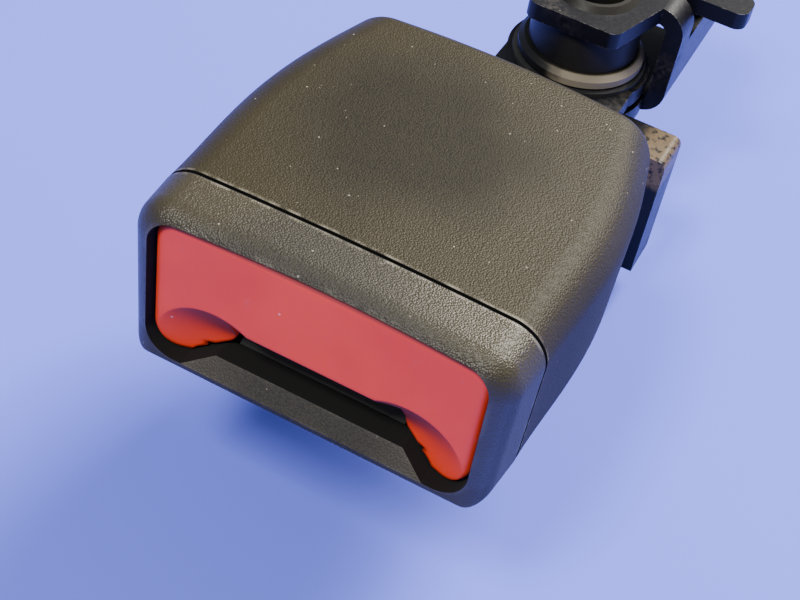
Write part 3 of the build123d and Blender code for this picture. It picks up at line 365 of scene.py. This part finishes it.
def bare_steel(name, tone, rough, lay):
    """Unpainted steel. Its rolling or grinding marks are longest on the axis that lay, a
    scale per axis, makes smallest."""
    finish = Finish(name, Metallic=1.0)
    mottle = finish.noise(size=0.0014, detail=3.0)
    lines = finish.noise(size=0.0004, detail=3.0, roughness=0.6, where=finish.stretched(*lay))
    stain = finish.noise(size=0.005, detail=4.0, roughness=0.6).ease(0.5, 0.72)
    colour = (mottle * 0.6 + lines * 0.4).tint(scaled(tone, 0.72), tone)
    finish.drive("Base Color", (stain * 0.4).tint(colour, STAIN))
    finish.drive("Roughness", (rough + lines * 0.16 + stain * 0.16).clamped())
    finish.relief(lines * 0.7 + mottle * 0.3, depth=0.00002, strength=0.5)
    return finish.material


dress("spring_washer", bare_steel("strip_finish", STRIP_STEEL, rough=0.24, lay=(0.2, 1.0, 1.0)))

# ---------------------------------------------------------------- stalk bearing
# Black moulded nylon ring pressed into the stalk's eye. Its collar shows under the
# bush's flange and is polished where it turns.
BEARING_NYLON = (0.024, 0.024, 0.025)

dress("stalk_bearing", nylon("bearing_finish", BEARING_NYLON, rough=0.34))

# ---------------------------------------------------------------- stalk
# Steel strip with a round eye, joggled so that the head stands above the bracket, and
# dipped in the same black paint as the bracket.
STALK_PAINT = (0.005, 0.005, 0.007)
STALK_BARE = (0.22, 0.21, 0.20)

dress("stalk_strap", painted_steel("stalk_finish", STALK_PAINT, STALK_BARE))

# ---------------------------------------------------------------- stalk rivets
# Two zinc-plated steel rivets that hold the stalk in the frame. Their heads are formed
# cold over the frame's floor and over the strap.
RIVET_STEEL = (0.46, 0.45, 0.43)

dress("stalk_rivets", bare_steel("rivet_finish", RIVET_STEEL, rough=0.30, lay=(1.0, 1.0, 0.3)))

# ---------------------------------------------------------------- frame
# Channel folded from steel strip and zinc plated. It carries the pull of the belt from
# the latch to the stalk, and slots in its side walls guide the lock bar.
FRAME_ZINC = (0.44, 0.44, 0.42)

dress("buckle_frame", bare_steel("frame_finish", FRAME_ZINC, rough=0.30, lay=(1.0, 0.15, 1.0)))

# ---------------------------------------------------------------- tongue guide
# Smooth black plastic sill, moulded and hooked under the front edge of the frame. It
# leads the blade from the bezel's lip onto the frame.
GUIDE_BLACK_AND_SHADE = (0.003, 0.003, 0.003)

# Its black plastic is made darker still, as painted shade deep in the slot.
dress("tongue_guide", nylon("guide_finish", GUIDE_BLACK_AND_SHADE, rough=0.62))

# ---------------------------------------------------------------- latch pivot pin
# Bright drawn steel pin with an upset head, pushed across both side walls of the
# frame. The latch swings on it.
PIN_STEEL = (0.55, 0.55, 0.54)

dress("latch_pivot_pin", bare_steel("pin_finish", PIN_STEEL, rough=0.20, lay=(0.2, 1.0, 1.0)))

# ---------------------------------------------------------------- latch
# Hardened steel hook plate, blanked and ground on its edges, hung on the pivot pin. Its
# hook drops into the blade's window.
LATCH_STEEL = (0.38, 0.37, 0.36)

dress("latch", bare_steel("latch_finish", LATCH_STEEL, rough=0.26, lay=(1.0, 0.3, 1.0)))

# ---------------------------------------------------------------- latch spring
# Torsion spring wound from drawn wire around the pivot pin. One leg lies on the latch
# and lifts it, and the other on the stalk.
WIRE_STEEL = (0.44, 0.44, 0.45)

spring_wire = bare_steel("spring_finish", WIRE_STEEL, rough=0.24, lay=(1.0, 1.0, 1.0))
dress("latch_spring", spring_wire)

# ---------------------------------------------------------------- ejector
# Slide moulded in acetal of its natural colour, with a groove for its spring. The blade
# pushes it back, and it pushes the blade out again.
NATURAL_ACETAL = (0.50, 0.48, 0.43)

dress("ejector", nylon("ejector_finish", NATURAL_ACETAL, rough=0.38))

# ---------------------------------------------------------------- ejector spring
# Compression spring wound from drawn wire, between the ejector and the stalk's front edge. It is a piece of
# its own here.
EJECTOR_WIRE = 0.0005
EJECTOR_TURNS = 8
STEPS_PER_TURN = 22
WIRE_SIDES = 8


def coil_points(low, high, wire, turns):
    """Rings of points around a wire wound along y, to fill a box from low to high."""
    radius = (high[0] - low[0] - wire) / 2
    middle = Vector(((low[0] + high[0]) / 2, low[1] + wire / 2, (low[2] + high[2]) / 2))
    run = Vector((0, high[1] - low[1] - wire, 0))
    along = Vector((0, 1, 0))
    steps = round(turns * STEPS_PER_TURN)
    points = []
    for step in range(steps + 1):
        share = step / steps
        turn = math.tau * turns * share
        out = Vector((math.cos(turn), 0.0, math.sin(turn)))
        centre = middle + run * share + out * radius
        for side in range(WIRE_SIDES):
            angle = math.tau * side / WIRE_SIDES
            points.append(centre + (out * math.cos(angle) + along * math.sin(angle)) * (wire / 2))
    return points


def tube_faces(rings):
    """Faces that join so many rings of points into a closed tube."""
    faces = []
    for ring in range(rings - 1):
        start = ring * WIRE_SIDES
        for side in range(WIRE_SIDES):
            other = (side + 1) % WIRE_SIDES
            after = start + WIRE_SIDES
            faces.append((start + side, start + other, after + other, after + side))
    faces.append(tuple(range(WIRE_SIDES))[::-1])
    faces.append(tuple((rings - 1) * WIRE_SIDES + side for side in range(WIRE_SIDES)))
    return faces


def compression_spring(node, wire, turns):
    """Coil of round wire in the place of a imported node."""
    low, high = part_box(node)
    points = coil_points(low, high, wire, turns)
    mesh = bpy.data.meshes.new(node + "_coil")
    mesh.from_pydata(points, [], tube_faces(len(points) // WIRE_SIDES))
    for face in mesh.polygons:
        face.use_smooth = True
    mesh.materials.append(spring_wire)
    spring = bpy.data.objects.new(node + "_coil", mesh)
    bpy.context.scene.collection.objects.link(spring)
    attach(spring, "head")
    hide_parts(node)
    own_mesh(spring)


compression_spring("ejector_spring", EJECTOR_WIRE, EJECTOR_TURNS)

# ---------------------------------------------------------------- lock bar
# Bright drawn steel bar, carried in slots of the button's two arms. It lies over the
# engaged latch and keeps it down.
BAR_STEEL = (0.52, 0.52, 0.51)

dress("lock_bar", bare_steel("bar_finish", BAR_STEEL, rough=0.20, lay=(0.2, 1.0, 1.0)))

# ---------------------------------------------------------------- release button
# Injection-moulded in red plastic with a satin surface, open at the back, with two arms
# that reach the lock bar. It slides in the bezel.
RED_DARK = (0.86, 0.048, 0.008)
RED_BRIGHT = (0.95, 0.060, 0.012)
# Deeper red of the painted shade on faces that look up or down.
RED_SHADE = (0.34, 0.042, 0.032)
RED_SCUFFED = (0.72, 0.20, 0.18)
RED_SPECK = (0.80, 0.50, 0.44)
BUTTON_EDGE = 0.0007


def red_plastic(name):
    """Satin red plastic, with painted shade on faces that look up or down, and a few specks of dust."""
    finish = Finish(name, IOR=1.46)
    cloud = finish.noise(size=0.014, detail=3.0)
    pits = finish.noise(size=0.00022)
    waves = finish.noise(size=0.003)
    specks = finish.specks(spacing=0.0032, radius=0.04, fade=0.075, cluster=0.004, share=(0.50, 0.58))
    streaks = finish.stretched(0.5, 1.0, 0.5)
    scuff = finish.noise(size=0.0009, detail=4.0, roughness=0.65, where=streaks).ease(0.60, 0.74)
    up_or_down_shade = abs(finish.facing().part(2))
    colour = cloud.ease(0.3, 0.7).tint(RED_DARK, RED_BRIGHT)
    # Painted shade: a deeper red on faces that look up or down.
    colour = up_or_down_shade.ease(0.08, 0.50).tint(colour, RED_SHADE)
    colour = (scuff * 0.16).tint(colour, RED_SCUFFED)
    finish.drive("Base Color", (specks * 0.55).tint(colour, RED_SPECK))
    finish.drive("Roughness", (0.40 + cloud * 0.06 + pits * 0.08 + scuff * 0.08).clamped())
    finish.relief(pits * 0.35 + waves * 0.65, depth=0.00004, strength=0.5, rounding=BUTTON_EDGE)
    return finish.material


dress("release_button", red_plastic("button_finish"))

# ---------------------------------------------------------------- button springs
# Two return springs wound from drawn wire, each between a lobe of the button and an ear
# of the frame. They shorten as the button is pressed.
BUTTON_WIRE = 0.0006
BUTTON_TURNS = 6

for spring_node in ("button_spring_left", "button_spring_right"):
    compression_spring(spring_node, BUTTON_WIRE, BUTTON_TURNS)

# ---------------------------------------------------------------- front bezel
# Injection-moulded ring in black plastic with a pebble grain, whose spigot snaps into
# the rear cover. Belt tongues have rubbed its lip, and hands its edges.
BEZEL_BLACK = (0.027, 0.022, 0.011)
BEZEL_CENTRE = (0.0, -0.10)
SEAM = -0.0855
HEAD_MIDDLE = (0.0, 0.0, 0.0133)
MOUTH_WALL = (0.0246, 0.0240)
MOUTH_FLOOR = (0.0008, 0.0013)
MOUTH_TOP = (0.0130, 0.0120)
MOUTH_REAR = (-0.0862, -0.0868)
LIP_TOP = (0.0045, 0.0040)
FRONT_FACE = (-0.62, -0.40)
HOLLOW = (-0.0045, -0.0075)
SEAM_GAP = (0.00042, 0.00026)
SEAM_RUB = (0.0009, 0.0004)
OFF_CENTRE = (0.016, 0.030)
RUB_RADIUS = 0.0012
# Black of the painted shade in the mouth and of the painted shadow in the seam's gap.
UNLIT = (0.001, 0.001, 0.001)
RUBBED_EDGE = (0.13, 0.115, 0.085)
RUBBED_SEAM = (0.30, 0.27, 0.21)
DUST = (0.42, 0.39, 0.33)


def grained_plastic(name, tone, seam_side, rough, specular, centre):
    """Pebbled black plastic. The seam's edge on side seam_side of it is rubbed pale, and it is darker round
    centre and lighter further out. Inside the mouth and on faces turned in towards the head's middle it is
    smooth, with painted shade in black, and a painted shadow darkens the seam's gap."""
    finish = Finish(name, IOR=1.46, Specular_IOR_Level=specular)
    facing = finish.facing()
    aside = abs(facing.part(0))
    ahead = facing.part(1)
    from_middle = finish.place.vector_math("SUBTRACT", HEAD_MIDDLE).vector_math("MULTIPLY", (1.0, 0.0, 1.0))
    outward = from_middle.vector_math("DOT_PRODUCT", facing, out=1)
    mouth = finish.z.ease(*MOUTH_FLOOR) * finish.z.ease(*MOUTH_TOP) * abs(finish.x).ease(*MOUTH_WALL)
    mouth = mouth * finish.y.ease(*MOUTH_REAR)
    # Painted shade: black on the mouth's faces and on faces turned in towards the head's middle.
    shaded_inside = outward.ease(*HOLLOW).most(mouth) * ahead.ease(*FRONT_FACE)
    lip = finish.z.ease(*LIP_TOP) * ahead.ease(*FRONT_FACE[::-1])

    coarse = finish.noise(size=0.00050, detail=3.0, roughness=0.7)
    fine = finish.cells(size=0.00026)
    grain = (coarse * 0.45 + (1 - fine) * 0.60).clamped()
    patch = finish.noise(size=0.016, detail=4.0, roughness=0.6)
    away = ((finish.x - centre[0]) ** 2.0 + (finish.y - centre[1]) ** 2.0) ** 0.5
    # Lighter and glossier further from centre, darker round it.
    off_centre = (away + patch * 0.014).ease(*OFF_CENTRE)
    # Painted shadow: a black band along the seam stands for the shade in its gap.
    seam_shadow = abs(finish.y - SEAM).ease(*SEAM_GAP)
    chafed = finish.noise(size=0.0022, detail=3.0).ease(0.42, 0.65)
    rub = ((finish.y - SEAM) * seam_side).ease(*SEAM_RUB) * chafed
    polish = finish.noise(size=0.005, detail=4.0, roughness=0.6).ease(0.40, 0.62)
    worn = edges(finish, RUB_RADIUS).ease(0.01, 0.10) * polish
    dust = finish.specks(spacing=0.0019, radius=0.045, fade=0.09, cluster=0.0023, share=(0.5, 0.58))

    colour = grain.ease(0.35, 0.75).tint(scaled(tone, 0.45), tone)
    colour = (off_centre * (0.45 + patch * 0.5)).tint(colour, scaled(tone, 1.6))
    colour = (worn * 0.35).tint(colour, RUBBED_EDGE)
    colour = (rub * 0.5).tint(colour, RUBBED_SEAM)
    colour = (dust * 0.7).tint(colour, DUST)
    # Black painted shade in the mouth, and painted shadow in the seam's gap.
    finish.drive("Base Color", shaded_inside.most(seam_shadow).tint(colour, UNLIT))
    surface = rough - grain * 0.12 + (1 - off_centre) * 0.16 + aside.ease(0.7, 0.95) * 0.2
    surface = surface + dust * 0.2 - rub * 0.1 - worn * 0.08
    finish.drive("Roughness", (surface + shaded_inside * 0.6 + seam_shadow * 0.4 + lip * 0.12).clamped())
    finish.relief(grain * (1 - shaded_inside * 0.8 - lip * 0.45), depth=0.00013, strength=0.9)
    return finish.material


dress("front_bezel", grained_plastic("bezel_finish", BEZEL_BLACK, seam_side=-1, rough=0.44,
                                     specular=0.50, centre=BEZEL_CENTRE))

# ---------------------------------------------------------------- rear cover
# Injection-moulded shell in the same grained plastic. It slides over the frame and snaps
# on the bezel. Handling has polished its edges, and dust sits in its grain.
COVER_BLACK = (0.019, 0.015, 0.006)
COVER_CENTRE = (-0.004, -0.062)

dress("rear_cover", grained_plastic("cover_finish", COVER_BLACK, seam_side=1, rough=0.54,
                                    specular=0.27, centre=COVER_CENTRE))

# ---------------------------------------------------------------- underside cover
# Lid moulded in the same grained plastic, with hooks at its two sides. It snaps in
# flush and closes the underside once the works are in.
LID_BLACK = (0.028, 0.024, 0.015)
LID_CENTRE = (0.0, -0.06)

dress("bottom_cover", grained_plastic("lid_finish", LID_BLACK, seam_side=1, rough=0.58,
                                      specular=0.30, centre=LID_CENTRE))
